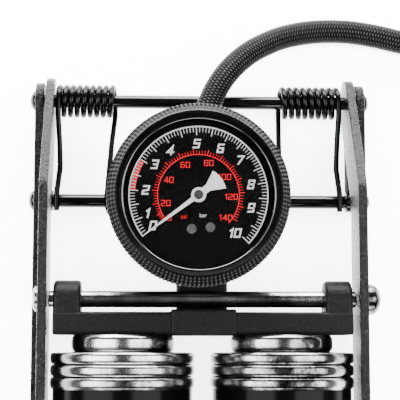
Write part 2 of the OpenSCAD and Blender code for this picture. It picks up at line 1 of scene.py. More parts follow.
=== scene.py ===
import bmesh
import bpy
import math
import numpy as np
from mathutils import Matrix, Vector


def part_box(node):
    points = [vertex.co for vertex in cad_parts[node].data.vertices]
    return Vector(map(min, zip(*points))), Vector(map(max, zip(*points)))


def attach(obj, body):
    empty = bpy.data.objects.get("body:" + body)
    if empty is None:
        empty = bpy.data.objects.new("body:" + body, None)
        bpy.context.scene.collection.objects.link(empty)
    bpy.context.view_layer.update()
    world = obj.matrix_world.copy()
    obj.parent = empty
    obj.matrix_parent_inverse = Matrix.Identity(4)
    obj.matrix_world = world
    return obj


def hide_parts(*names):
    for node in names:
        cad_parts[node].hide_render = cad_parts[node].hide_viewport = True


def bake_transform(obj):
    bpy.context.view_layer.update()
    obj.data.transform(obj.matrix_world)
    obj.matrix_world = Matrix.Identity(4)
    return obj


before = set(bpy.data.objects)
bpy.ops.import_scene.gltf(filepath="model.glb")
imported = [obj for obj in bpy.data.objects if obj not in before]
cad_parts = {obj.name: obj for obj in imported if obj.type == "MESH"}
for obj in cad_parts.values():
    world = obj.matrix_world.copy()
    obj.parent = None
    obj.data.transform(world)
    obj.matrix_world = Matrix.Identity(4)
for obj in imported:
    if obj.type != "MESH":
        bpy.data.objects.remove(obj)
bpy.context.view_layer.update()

# ------------------------------------------------------------
# Studio: a pale floor seen from above, the camera a little left of the gauge and nearer the
# cylinders than the hinge. Soft boxes on both sides, behind the hinge and past the pedal put
# long highlights on chrome and enamel; an overhead fill doesn't show in them.
mm = 0.001
axle_low, axle_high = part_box("hinge_axle")
hinge_y = (axle_low.y + axle_high.y) / 2
hinge_z = (axle_low.z + axle_high.z) / 2


def at(distance):
    """The y of a place given by its distance in millimetres from the hinge axle to the pedal."""
    return hinge_y - distance * mm


def put(name, data):
    """An object with this data, linked to the scene."""
    thing = bpy.data.objects.new(name, data)
    bpy.context.scene.collection.objects.link(thing)
    return thing


camera_data = bpy.data.cameras.new("camera")
camera_data.sensor_fit = "HORIZONTAL"
camera_data.angle = math.radians(18.51)
camera_data.clip_start = 0.01
camera = put("camera", camera_data)
ahead = Vector((0.04477, 0.11727, -0.99209)).normalized()
upward = Vector((-0.00619, 0.9931, 0.11711))
rightward = ahead.cross(upward).normalized()
camera.rotation_euler = Matrix((rightward, rightward.cross(ahead), -ahead)).transposed().to_euler()
camera.location = (-22.7 * mm, at(100.3), 515.6 * mm)
bpy.context.scene.camera = camera

floor_mesh = bpy.data.meshes.new("floor")
floor_half = 4.0
floor_mesh.from_pydata([(-floor_half, -floor_half, 0), (floor_half, -floor_half, 0),
                        (floor_half, floor_half, 0), (-floor_half, floor_half, 0)],
                       [], [(0, 1, 2, 3)])
put("floor", floor_mesh)


def soft_box(name, place, aim, width, height, watts):
    """An area light of width by height metres at place, turned to face aim."""
    data = bpy.data.lights.new(name, "AREA")
    data.shape = "RECTANGLE"
    data.size = width
    data.size_y = height
    data.energy = watts
    light = put(name, data)
    light.location = place
    light.rotation_euler = (Vector(aim) - Vector(place)).to_track_quat("-Z", "Y").to_euler()
    return light


for side, x in (("left", -0.95), ("right", 0.95)):
    soft_box("soft_box_" + side, (x, at(60), 1.15), (0, at(80), 0), 0.8, 1.3, 75)
soft_box("soft_box_hinge", (0.05, at(-1150), 0.4), (0, at(20), 0), 1.9, 0.66, 250)
soft_box("soft_box_pedal", (0, at(1150), 0.6), (0, at(60), 0), 1.6, 0.5, 60)
fill = soft_box("fill", (-0.1, at(80), 1.5), (0, at(60), 0), 1.5, 1.5, 175)
fill.visible_glossy = False
world = bpy.data.worlds.new("studio")
world.use_nodes = True
background = world.node_tree.nodes["Background"]
background.inputs["Color"].default_value = (1, 1, 1, 1)
background.inputs["Strength"].default_value = 0.12
bpy.context.scene.world = world


# ------------------------------------------------------------
# Hose: a rubber tube under a black woven jacket, with grey flecks painted on the crown of every
# crossing as a painted sheen. It is crimped on at the gauge, passes over the hinge axle, lies on
# the floor and ends in a put-away coil.
class Wire:
    """A shader value that can be added, subtracted and multiplied like a number."""

    def __init__(self, tree, socket):
        self.tree = tree
        self.socket = socket

    def maths(self, operation, first, second=None):
        node = self.tree.nodes.new("ShaderNodeMath")
        node.operation = operation
        for port, value in zip(node.inputs, (first, second)):
            if isinstance(value, Wire):
                self.tree.links.new(value.socket, port)
            elif value is not None:
                port.default_value = value
        return Wire(self.tree, node.outputs[0])

    def __add__(self, other):
        return self.maths("ADD", self, other)

    def __sub__(self, other):
        return self.maths("SUBTRACT", self, other)

    def __rsub__(self, other):
        return self.maths("SUBTRACT", other, self)

    def __mul__(self, other):
        return self.maths("MULTIPLY", self, other)

    def sine(self):
        return self.maths("SINE", self)

    __radd__ = __add__
    __rmul__ = __mul__


def grey(level):
    return (level, level, level)


class Finish:
    """One surface finish: a Principled shader and the nodes that vary it."""

    def __init__(self, name, **sockets):
        self.material = bpy.data.materials.new(name)
        self.material.use_nodes = True
        self.tree = self.material.node_tree
        self.shader = self.tree.nodes["Principled BSDF"]
        for socket, value in sockets.items():
            self.feed(socket.replace("_", " "), value)

    def feed(self, socket, value):
        """Puts a number, colour or Wire on a socket of the shader."""
        port = self.shader.inputs[socket]
        if isinstance(value, Wire):
            self.tree.links.new(value.socket, port)
        elif isinstance(value, tuple):
            port.default_value = (*value, 1)
        else:
            port.default_value = value

    def node(self, kind, settings=None, inputs=None, output=0):
        """Any node: its type, then its settings, then the values or Wires of its sockets."""
        node = self.tree.nodes.new(kind)
        for name, value in (settings or {}).items():
            if name == "stops":
                ramp = node.color_ramp
                while len(ramp.elements) < len(value):
                    ramp.elements.new(1)
                for element, (place, colour) in zip(ramp.elements, value):
                    element.position = place
                    element.color = (*colour, 1)
            else:
                setattr(node, name, value)
        for name, value in (inputs or {}).items():
            if isinstance(value, Wire):
                self.tree.links.new(value.socket, node.inputs[name])
            else:
                node.inputs[name].default_value = value
        return Wire(self.tree, node.outputs[output])

    def noise(self, scale, detail=2.0, roughness=0.5):
        """Noise on Object coordinates, with about this many spots in a metre."""
        return self.node("ShaderNodeTexNoise", {}, {
            "Vector": self.node("ShaderNodeTexCoord", output=3), "Scale": scale,
            "Detail": detail, "Roughness": roughness})

    def blend(self, factor, low, high):
        """The colour low where factor is 0, turning to high where it is 1."""
        return self.node("ShaderNodeMix", {"data_type": "RGBA"}, {
            0: factor, 6: low if isinstance(low, Wire) else (*low, 1),
            7: high if isinstance(high, Wire) else (*high, 1)}, output=2)

    def mottle(self, scale, dark, light, detail=2.0):
        """A base colour that wanders between dark and light, in spots of this scale."""
        self.feed("Base Color", self.blend(self.noise(scale, detail), dark, light))
        return self

    def dull(self, scale, share, least, detail=2.0):
        """A roughness that wanders from least up to least plus share."""
        self.feed("Roughness", self.noise(scale, detail) * share + least)
        return self

    def bump(self, height, depth, strength):
        """Raises the surface by height times depth metres."""
        self.feed("Normal", self.node("ShaderNodeBump", {}, {
            "Height": height, "Distance": depth, "Strength": strength}))
        return self


def skin(name, grid, finish, closed=False, smooth=35, uv=None):
    """A mesh from a grid of points, rows by columns: each cell is a quad, and the last column
    joins the first. Closed joins the last row to the first; else a face fills each end row."""
    rows, columns = grid.shape[:2]
    r, c = np.meshgrid(np.arange(rows if closed else rows - 1), np.arange(columns),
                       indexing="ij")
    r2, c2 = (r + 1) % rows, (c + 1) % columns
    quads = np.stack([r * columns + c, r * columns + c2, r2 * columns + c2, r2 * columns + c],
                     -1).reshape(-1, 4)
    faces = quads.tolist()
    if not closed:
        faces.append(list(range(columns))[::-1])
        faces.append(list(range((rows - 1) * columns, rows * columns)))
    mesh = bpy.data.meshes.new(name)
    mesh.from_pydata(grid.reshape(-1, 3).tolist(), [], faces)
    if uv is not None:
        layer = mesh.uv_layers.new(name="surface")
        corners = np.zeros((len(mesh.loops), 2))
        over = np.stack([np.stack([c, r], -1), np.stack([c + 1, r], -1),
                         np.stack([c + 1, r + 1], -1), np.stack([c, r + 1], -1)], 2)
        corners[:quads.size] = (over * np.array(uv)).reshape(-1, 2)
        layer.data.foreach_set("uv", corners.ravel())
    mesh.validate()
    mesh.update()
    mesh.shade_smooth()
    mesh.set_sharp_from_angle(angle=math.radians(smooth))
    mesh.materials.append(finish.material)
    return put(name, mesh)


def through(points, steps):
    """A smooth curve through points (Catmull-Rom): between two points the line is the cubic that
    leaves each along the chord of its neighbours, in so many steps."""
    p = np.asarray(points, float)
    p = np.vstack([2 * p[0] - p[1], p, 2 * p[-1] - p[-2]])
    t = np.linspace(0, 1, steps, endpoint=False)[None, :, None]
    a, b, c, d = (p[i:len(p) - 3 + i, None, :] for i in range(4))
    curve = 0.5 * (2 * b + (c - a) * t + (2 * a - 5 * b + 4 * c - d) * t ** 2
                   + (3 * b - a - 3 * c + d) * t ** 3)
    return np.vstack([curve.reshape(-1, 3), p[-2]])


def evenly(path, step):
    """The same path with its points one step apart along its length."""
    run = np.r_[0, np.cumsum(np.linalg.norm(np.diff(path, axis=0), axis=1))]
    marks = np.linspace(0, run[-1], int(round(run[-1] / step)) + 1)
    return np.stack([np.interp(marks, run, path[:, i]) for i in range(3)], -1)


def unit(vectors):
    """Rows of vectors, each divided by its length."""
    return vectors / np.linalg.norm(vectors, axis=1)[:, None]


def rings(path, side, top, radius, columns):
    """A ring round every point of a path: point + radius x (side cos turn + top sin turn).
    Radius is one number or a rows by columns array."""
    turn = np.linspace(0, 2 * np.pi, columns, endpoint=False)
    out = np.cos(turn)[None, :, None] * side[:, None] + np.sin(turn)[None, :, None] * top[:, None]
    return path[:, None] + np.broadcast_to(radius, out.shape[:2])[..., None] * out


# x, distance from the hinge axle and z of the hose's middle line, in millimetres
hose_r = 5.1
hose_route = [
    (0, 28, 23.2), (0, 24, 23.2), (0, 19, 23.2), (0.3, 14, 23.2), (1.6, 7.3, 23.2), (4.1, 0.5, 23),
    (7.4, -6, 22.3), (11.5, -11.8, 20.8), (16.3, -17, 18.7), (21.6, -21.4, 16.2),
    (27.5, -25.1, 13.4), (34, -28.4, 10.6), (42, -31, 8), (50, -32.5, 6.2), (58, -33, 5.3),
    (66, -32.6, 5.1), (75, -31.2, 5.1), (84, -29.2, 5.1), (96, -26.5, 5.1), (108, -23.8, 5.1),
    (120, -21.1, 5.1), (132, -18.4, 5.1), (144, -15.7, 5.1), (156, -13, 5.1), (167, -10.6, 5.1),
]
route = np.array([(x * mm, at(u), z * mm) for x, u, z in hose_route])
coil_r, coil_start, coil_turns = 60.0, 78.0, 1.21667
coil_step = 2 * hose_r + 1
coil_top, climb_from = 17.6, 0.72
tail = 2 * hose_r + 2
coil_centre = route[-1, :2] - coil_r * mm * np.array([math.cos(math.radians(coil_start)),
                                                     math.sin(math.radians(coil_start))])
turns = np.linspace(0, coil_turns, 300)[1:]
angle = np.radians(coil_start - 360 * turns)
lift = np.clip((turns - climb_from) / (coil_turns - climb_from), 0, 1)
lift = lift * lift * (3 - 2 * lift)
loops = np.stack([coil_centre[0] + (coil_r - coil_step * turns) * mm * np.cos(angle),
                  coil_centre[1] + (coil_r - coil_step * turns) * mm * np.sin(angle),
                  (hose_r + (coil_top - hose_r) * lift) * mm], -1)
tip = loops[-1] + np.array([0, -tail * mm, 0])
strands, columns_per_strand = 9, 5
cross_pitch, rings_per_cross = 1.25, 4
hose_line = evenly(np.vstack([through(route, 20), loops, tip]),
                   cross_pitch / rings_per_cross * mm)

hose_columns = columns_per_strand * strands
around_hose = 2 * np.pi * strands * np.arange(hose_columns) / hose_columns
along_hose = 2 * np.pi * np.arange(len(hose_line)) / rings_per_cross
weave = np.cos(around_hose)[None, :] * np.cos(along_hose)[:, None]
weave_depth = 0.16

jacket = Finish("hose_jacket", Roughness=0.32, Specular_IOR_Level=0.02)
surface = jacket.node("ShaderNodeUVMap")
across, along = (jacket.node("ShaderNodeSeparateXYZ", {}, {0: surface}, axis) for axis in (0, 1))
quarter_turn = math.pi / 2
crest = ((across * (2 * math.pi * strands) + quarter_turn).sine()
         * (along * (2 * math.pi) + quarter_turn).sine())
thread = jacket.noise(700, 2)
# painted sheen: the crown of every crossing is painted grey, standing in for the light it catches
painted_crown_sheen = jacket.node("ShaderNodeValToRGB", {"stops": [(0.42, grey(0)), (0.8, grey(1))]},
                    {"Fac": crest})
yarn = jacket.blend(thread, grey(0.0002), grey(0.001))
jacket.feed("Base Color", jacket.blend(painted_crown_sheen * (thread * 0.9 + 0.1), yarn, grey(0.035)))
jacket.bump(crest, 0.00022, 1.0)

# the hose never stands upright, so the side of each ring is tangent x up
tangent = unit(np.gradient(hose_line, axis=0))
side = unit(np.cross(tangent, [0, 0, 1]))
hose_rings = rings(hose_line, side, np.cross(side, tangent),
                   (hose_r - weave_depth + weave_depth * weave) * mm, hose_columns)
hose = skin("hose", hose_rings, jacket, smooth=80, uv=(1 / hose_columns, 1 / rings_per_cross))
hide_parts("hose_run", "hose_coil")
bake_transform(hose)


# ------------------------------------------------------------
# Crimped ferrules, tyre connector and its thumb lever. Aluminium sleeves rolled on the hose
# with three grooves; the connector is moulded black plastic on a steel pin, with a rubber seal.
def rounded(corners, radius, steps=5):
    """The corners of an outline cut to arcs: each corner becomes the quadratic curve that starts
    radius before it, pulls towards it and ends radius after it."""
    p = np.asarray(corners, float)
    before, after = np.roll(p, 1, 0), np.roll(p, -1, 0)
    gap_in = np.linalg.norm(before - p, axis=1)
    gap_out = np.linalg.norm(after - p, axis=1)
    reach = np.minimum(np.broadcast_to(radius, len(p)), 0.49 * np.minimum(gap_in, gap_out))
    start = p + (before - p) * (reach / gap_in)[:, None]
    stop = p + (after - p) * (reach / gap_out)[:, None]
    t = np.linspace(0, 1, steps)[None, :, None]
    arcs = (1 - t) ** 2 * start[:, None] + 2 * t * (1 - t) * p[:, None] + t ** 2 * stop[:, None]
    return arcs.reshape(-1, 2)


AXES = {"x": ((0, 1, 0), (0, 0, 1), (1, 0, 0)), "y": ((0, 0, 1), (1, 0, 0), (0, 1, 0)),
        "z": ((1, 0, 0), (0, 1, 0), (0, 0, 1))}


def turned(name, outline, centre, axis, finish, columns=64, smooth=35):
    """A solid of revolution: outline is a closed loop of (radius, height) in millimetres, swept
    round the axis through centre. Points on the axis close the solid there."""
    first, second, up = (np.array(v, float) for v in AXES[axis])
    loop = np.asarray(outline, float) * mm
    turn = np.linspace(0, 2 * np.pi, columns, endpoint=False)
    ring = np.cos(turn)[:, None] * first + np.sin(turn)[:, None] * second
    grid = loop[:, 0, None, None] * ring[None] + loop[:, 1, None, None] * up
    area = np.sum(loop[:, 0] * np.roll(loop[:, 1], -1) - np.roll(loop[:, 0], -1) * loop[:, 1])
    if area < 0:
        grid = grid[::-1]
    piece = skin(name, grid + np.array(centre, float), finish, closed=True, smooth=smooth)
    clean(piece)
    return piece


def clean(piece):
    """Merges the points that meet on an axis or seam and points every face outwards."""
    work = bmesh.new()
    work.from_mesh(piece.data)
    bmesh.ops.remove_doubles(work, verts=work.verts, dist=1e-7)
    bmesh.ops.dissolve_degenerate(work, edges=work.edges, dist=1e-7)
    bmesh.ops.recalc_face_normals(work, faces=work.faces)
    work.to_mesh(piece.data)
    work.free()
    piece.data.update()


aluminium = Finish("crimped_aluminium", Metallic=1.0)
aluminium.mottle(400, (0.05, 0.05, 0.052), (0.14, 0.14, 0.142)).dull(300, 0.25, 0.22)


def ferrule(name, node, centre, length):
    """A crimped sleeve along -y from centre, with three rolled grooves in its outside."""
    along = np.linspace(0, 1, 61)
    sleeve_r, grooves, groove_depth, end_step = 6.3, 3, 0.45, 0.4
    bore = hose_r + 0.16
    groove = groove_depth * np.clip(np.cos(2 * np.pi * (grooves * along - 0.5)), 0, 1) ** 2
    at_end = np.abs(2 * along - 1) > 0.97
    outer = np.stack([sleeve_r - groove - end_step * at_end, -along * length], -1)
    inner = [(bore, -length), (bore, 0)]
    piece = turned(name, np.vstack([outer, inner]), centre, "y", aluminium)
    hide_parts(node)
    return piece


sleeve_low, sleeve_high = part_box("hose_ferrule")
port_z = (sleeve_low.z + sleeve_high.z) / 2
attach(ferrule("pump_ferrule", "hose_ferrule", (0, sleeve_high.y, port_z),
                (sleeve_high.y - sleeve_low.y) / mm), "hose_end")
sleeve_low, sleeve_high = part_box("tip_ferrule")
tip_x, tip_z = (sleeve_low.x + sleeve_high.x) / 2, (sleeve_low.z + sleeve_high.z) / 2
tip_ferrule = ferrule("tip_sleeve", "tip_ferrule", (tip_x, sleeve_high.y, tip_z), 10)
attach(tip_ferrule, "base")

moulding = Finish("connector_moulding", Specular_IOR_Level=0.08)
moulding.mottle(60, grey(0.0008), grey(0.002)).dull(500, 0.2, 0.38)
moulding.bump(moulding.noise(2500, 1), 0.00003, 0.6)


def dress(finish, *nodes):
    """Gives CAD nodes, which keep their own shape, this finish."""
    for node in nodes:
        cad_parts[node].data.materials.clear()
        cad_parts[node].data.materials.append(finish.material)


dress(moulding, "connector_body", "thumb_lever")


# ------------------------------------------------------------
# Frame steel: the base rails and lever rails are stamped sheet with a dark textured powder
# coat; the raised tops of its grains are painted lighter, a painted glint. Both pairs turn on the
# hinge axle.
def outward(outline, distance):
    """The outline moved out by distance along its own normals."""
    p = np.asarray(outline, float)
    tangent = np.roll(p, -1, 0) - np.roll(p, 1, 0)
    tangent /= np.linalg.norm(tangent, axis=1)[:, None] + 1e-12
    normal = np.stack([tangent[:, 1], -tangent[:, 0]], -1)
    return p + distance * normal


def held(outline, long_edge=3, reach=0.2):
    """The outline with a point close to each end of every long edge, which keeps it flat."""
    p = np.asarray(outline, float)
    step = np.roll(p, -1, 0) - p
    length = np.linalg.norm(step, axis=1)
    is_long = length > long_edge
    away = np.where(is_long, reach / np.maximum(length, 1e-9), 0)[:, None] * step
    both = np.stack([p, p + away, p + step - away], 1)
    return both[np.stack([np.ones(len(p), bool), is_long, is_long], 1)]


def slab(name, outline, near, far, axis, finish, edge):
    """A plate: the outline, counterclockwise in millimetres, drawn across the axis and carried
    from near to far, with its edges rounded over a quarter circle of radius edge."""
    first, second, up = (np.array(v, float) for v in AXES[axis])
    a = np.radians([0, 30, 60, 90])
    rows = [(near + edge - edge * math.cos(t), -edge * (1 - math.sin(t))) for t in a]
    rows += [(near + 1.2 * edge, 0), (far - 1.2 * edge, 0)]
    rows += [(far - edge + edge * math.cos(t), -edge * (1 - math.sin(t))) for t in a[::-1]]
    outline = held(outline)
    grid = []
    for height, inset in rows:
        shape = outward(outline, inset)
        grid.append(shape[:, :1] * first + shape[:, 1:] * second + height * up)
    return skin(name, np.array(grid) * mm, finish)


def powder_coat(name, dark, light, glint_share, rough, gloss, grit):
    """Textured coat: fine hard grains on a patchy ground; the tops of the grains are painted
    lighter, a painted glint.
    """
    coat = Finish(name, Specular_IOR_Level=gloss)
    grain = coat.noise(1000, 2, 0.6)
    patch = coat.noise(45, 3)
    # painted glint: the raised tops of the grains are painted lighter, standing in for the light
    # they catch
    painted_grain_glint = coat.node("ShaderNodeValToRGB", {"stops": [(0.5, grey(0)), (0.66, grey(1))]},
                      {"Fac": grain})
    body = coat.blend(patch, dark, tuple(1.5 * c for c in dark))
    coat.feed("Base Color", coat.blend(painted_grain_glint * glint_share, body, light))
    coat.feed("Roughness", grain * 0.15 + rough)
    coat.bump(grain, grit, 0.8)
    return coat


# the lighter colour is the painted glint on the grain tops
frame_coat = powder_coat("frame_powder_coat", grey(0.0003), (0.004, 0.004, 0.0041), 0.8, 0.2, 0.06,
                         0.0008)


def lines_of(node):
    """Lowest and highest corner of a CAD node, in millimetres."""
    low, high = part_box(node)
    return np.array(low) / mm, np.array(high) / mm


y0 = hinge_y / mm
z0 = hinge_z / mm
rail_edge = 0.45


def disc(y, z, radius, start, stop, steps=14):
    """An arc of points round (y, z), from start to stop in degrees."""
    a = np.radians(np.linspace(start, stop, steps))
    return np.stack([y + radius * np.cos(a), z + radius * np.sin(a)], -1)


for side in ("left", "right"):
    low, high = lines_of("base_rail_" + side)
    nose, corner = (high[2] - low[2]) / 2, 2
    outline = np.vstack([disc(y0, z0, nose, -90, 90),
                         [(low[1] + corner, high[2]), (low[1], high[2] - corner),
                          (low[1], low[2] + corner), (low[1] + corner, low[2])]])
    rail = slab("base_plate_" + side, outline, low[0], high[0], "x", frame_coat, rail_edge)
    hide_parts("base_rail_" + side)
    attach(rail, "base")

# the lighter colour is the painted glint on the grain tops
lever_coat = powder_coat("lever_powder_coat", grey(0.0003), (0.003, 0.003, 0.0031), 0.8, 0.18,
                         0.085, 0.0008)
for side in ("left", "right"):
    low, high = lines_of("lever_rail_" + side)
    half, bend, tail_r, cut = 9.5, 41.0, 9.0, 0.8
    rise = high[2] - half - z0
    slope = math.degrees(math.atan2(rise, bend))
    inner = half * math.tan(math.radians(slope / 2))
    outline = np.vstack([
        disc(y0, z0, half, -90 - slope, 90 - slope, 18),
        disc(y0 - bend, z0 + rise, half, 90 - slope, 90, 8),
        disc(low[1] + tail_r, high[2] - tail_r, tail_r, 90, 180, 10),
        [(low[1], high[2] - 2 * half + cut), (low[1] + cut, high[2] - 2 * half)],
        [(y0 - bend - inner, z0 + rise - half)],
    ])
    rail = slab("lever_plate_" + side, outline, low[0], high[0], "x", lever_coat, rail_edge)
    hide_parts("lever_rail_" + side)
    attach(rail, "lever")


# ------------------------------------------------------------
# Hinge axle and cross rod: black enamelled steel rods with mushroom heads riveted over the
# outer faces of the base rails. Two collars space the cross rod.
def enamel(name, colour, roughness, gloss=0.15, coat=0.05):
    """Stoved gloss enamel: a dark body under a clear coat with a faint orange-peel."""
    paint = Finish(name, Specular_IOR_Level=gloss, Coat_Weight=coat, Coat_Roughness=0.06)
    paint.mottle(90, colour, tuple(1.6 * c for c in colour), 3).dull(220, 0.12, roughness, 3)
    return paint.bump(paint.noise(260), 0.00002, 0.5)


rod_enamel = enamel("rod_enamel", grey(0.0002), 0.12)
rod_r = 2.75


def headed_rod(name, node, axis_y):
    """A bar across the pump, with a low dome riveted over each end."""
    dome_r, dome, bite = 4.2, 2.6, 0.02
    end = lines_of("base_rail_right")[1][0]
    a = np.radians(np.linspace(0, 90, 9))
    cap = np.stack([dome_r * np.cos(a), end + dome * np.sin(a)], -1)
    half_outline = np.vstack([[(0, 0), (rod_r, 0), (rod_r, end - bite), (dome_r, end - bite)],
                              cap])
    mirrored = half_outline[::-1] * np.array([1, -1])
    piece = turned(name, np.vstack([half_outline, mirrored]), (0, axis_y * mm, z0 * mm),
                   "x", rod_enamel, 48, 30)
    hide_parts(node)
    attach(piece, "base")


low, high = lines_of("cross_rod")
headed_rod("hinge_rod", "hinge_axle", y0)
headed_rod("spacer_rod", "cross_rod", (low[1] + high[1]) / 2)
dress(rod_enamel, "cross_rod_collars")


# ------------------------------------------------------------
# Torsion spring: one black tempered wire, with two packs of eight turns round the hinge axle,
# legs that bear on the cross rod, and a bridge under the manifold's neck. Each half is a piece
# that twists from its outer leg to the bridge.
wire_r, coil_mean, pitch, coils = 1.15, 5.8, 2.8, 8
pack_in = 34.7
pack_out = pack_in + coils * pitch
pass_z = z0 + rod_r + wire_r + 0.1
neck_low = 17.8
bridge_z = neck_low - wire_r - 0.05
bridge_y = y0 - 54
coil_turn = np.linspace(0, 2 * np.pi * (coils + 0.5), 32 * coils + 16)
pack = np.stack([-pack_out + pitch * coil_turn / (2 * np.pi),
                 y0 + coil_mean * np.sin(coil_turn), z0 + coil_mean * np.cos(coil_turn)], -1)
outer_leg = np.array([(-pack_out - 0.15, y0 - 46, pass_z),
                      (-pack_out - 0.15, y0 - 39, pass_z + 0.2),
                      (-pack_out + 0.1, y0 - 36.5, pass_z + 0.3),
                      (-pack_out + 1, y0 - 29.8, pass_z + 0.5),
                      (-pack_out + 1.15, y0 - 27.2, pass_z + 0.6),
                      (-pack_out + 0.8, y0 - 18, pass_z + 1),
                      (-pack_out, y0 - 6, z0 + coil_mean - 0.1)])
inner_leg = np.array([(-pack_in + 1.5, y0 - 5, z0 - coil_mean + 0.3),
                      (-pack_in + 1.9, y0 - 20, z0 - 0.6), (-pack_in + 1.9, y0 - 34, pass_z - 0.3),
                      (-pack_in + 2.1, y0 - 44, pass_z + 0.1),
                      (-pack_in + 4, y0 - 49.5, bridge_z), (-pack_in + 7, y0 - 53, bridge_z),
                      (-pack_in + 11, bridge_y, bridge_z), (-12, bridge_y, bridge_z),
                      (0, bridge_y, bridge_z)])
wire_line = np.vstack([through(outer_leg, 8), pack, through(inner_leg, 8)]) * mm
wire_line = wire_line[np.r_[True, np.linalg.norm(np.diff(wire_line, axis=0), axis=1) > 1e-5]]


def carried_rings(path, radius, columns):
    """Rings round a path in space: each ring's side is the last one's, made square to the new
    tangent, so that the surface doesn't twist."""
    tangent = unit(np.gradient(path, axis=0))
    side = np.array((0, 0, 1), float)
    sides = []
    for t in tangent:
        side = side - np.dot(side, t) * t
        side /= np.linalg.norm(side)
        sides.append(side)
    sides = np.array(sides)
    return rings(path, sides, np.cross(tangent, sides), radius, columns)


spring_enamel = enamel("tempered_wire", grey(0.0002), 0.16, 0.06, 0.01)
# the left half is wound closer and stands further out, its inner leg leans out too, and the
# last of its bridge is stretched to meet the right half in the middle
left_scale, left_shift, stretch = 0.966, 3.3 * mm, 1.87
leg_shift, leg_lean, pack_edge = 0.8 * mm, 2.4 * mm, -38 * mm
for side, sign in (("left", 1), ("right", -1)):
    line = wire_line * np.array([sign, 1, 1])
    if side == "left":
        down = (hinge_y - line[:, 1]) / mm
        x = np.maximum(left_scale * line[:, 0] - left_shift, stretch * line[:, 0])
        shift = leg_shift * np.clip((down - 5) / 12, 0, 1)
        lean = leg_lean * np.clip((down - 6) / 34, 0, 1) * np.clip((55 - down) / 10, 0, 1)
        line[:, 0] = x - (shift + lean) * (x > pack_edge)
    wire = carried_rings(line, wire_r * mm, 14)[:, ::sign]
    half_spring = skin("spring_" + side, wire, spring_enamel, smooth=60)
    clean(half_spring)
    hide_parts("torsion_spring")
    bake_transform(half_spring)


# ------------------------------------------------------------
# Chrome: the head axle and its rivets, the collars and the ribbed head caps, turned or drawn
# steel. The plating is slightly wavy; its colour runs in clouds from near black to mid grey, a
# painted reflection of the studio's bright and dark patches.
def together(name, pieces):
    """Several meshes of one real piece as one object."""
    vertices, faces, start = [], [], 0
    for piece in pieces:
        mesh = piece.data
        co = np.empty(len(mesh.vertices) * 3)
        mesh.vertices.foreach_get("co", co)
        vertices.append(co.reshape(-1, 3))
        faces += [[start + v for v in face.vertices] for face in mesh.polygons]
        start += len(mesh.vertices)
    joined = bpy.data.meshes.new(name)
    joined.from_pydata(np.vstack(vertices).tolist(), [], faces)
    joined.shade_smooth()
    joined.set_sharp_from_angle(angle=math.radians(35))
    joined.materials.append(pieces[0].data.materials[0])
    for old in pieces:
        bpy.data.objects.remove(old)
    return put(name, joined)


chrome = Finish("polished_chrome", Metallic=1.0)
streak = chrome.noise(120, 4, 0.6)
grit = chrome.noise(900, 3, 0.7)
painted_reflection_cloud = chrome.noise(42, 4, 0.6)
# painted reflection: the base colour's dark and bright clouds stand in for the dark and bright
# patches the chrome reflects
chrome.feed("Base Color", chrome.blend(painted_reflection_cloud * 2.8 + grit * 0.6 - 1.25, (0.006, 0.006, 0.0062),
                                       (0.28, 0.282, 0.285)))
chrome.feed("Roughness", streak * 0.16 + 0.12)
chrome.bump(chrome.noise(75, 3, 0.55) + grit * 0.06, 0.0002, 0.7)

low, high = lines_of("head_axle")
head_y, head_z = (low[1] + high[1]) / 2, (low[2] + high[2]) / 2
head_r = (high[2] - low[2]) / 2
bevel = 0.4
outline = [(0, low[0]), (head_r - bevel, low[0]), (head_r, low[0] + bevel),
           (head_r, high[0] - bevel), (head_r - bevel, high[0]), (0, high[0])]
head_rod = turned("head_rod", outline, (0, head_y * mm, head_z * mm), "x", chrome, 64, 30)
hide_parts("head_axle")
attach(head_rod, "cylinders")

lever_inner = lines_of("lever_rail_right")[0][0]
rivet_from, face, rim = lever_inner + 0.3, lever_inner + 3.5, 0.35
a = np.radians(np.linspace(0, 90, 12))
rivets = []
for sign, dome_r, dome in ((-1, 4.9, 2.6), (1, 6.1, 6)):
    cap = np.stack([dome_r * np.cos(a), face + dome * (rim + (1 - rim) * np.sin(a))], -1)
    rivet = np.vstack([[(0, rivet_from), (head_r, rivet_from), (head_r, face), (dome_r, face)],
                       cap])
    rivets.append(turned("rivet", rivet * np.array([1, sign]),
                         (0, head_y * mm, head_z * mm), "x", chrome, 64))
rivets = together("head_rivets", rivets)
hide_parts("head_axle_rivets")
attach(rivets, "lever")


def along_pump(outline):
    """Turns (radius, distance from the hinge) into (radius, y)."""
    return np.asarray(outline, float) * np.array([1, -1]) + np.array([0, y0])


def barrel_axis(side):
    """A point on the axis of a barrel, in metres."""
    low, high = lines_of("barrel_" + side)
    return ((low[0] + high[0]) / 2 * mm, 0, (low[2] + high[2]) / 2 * mm)


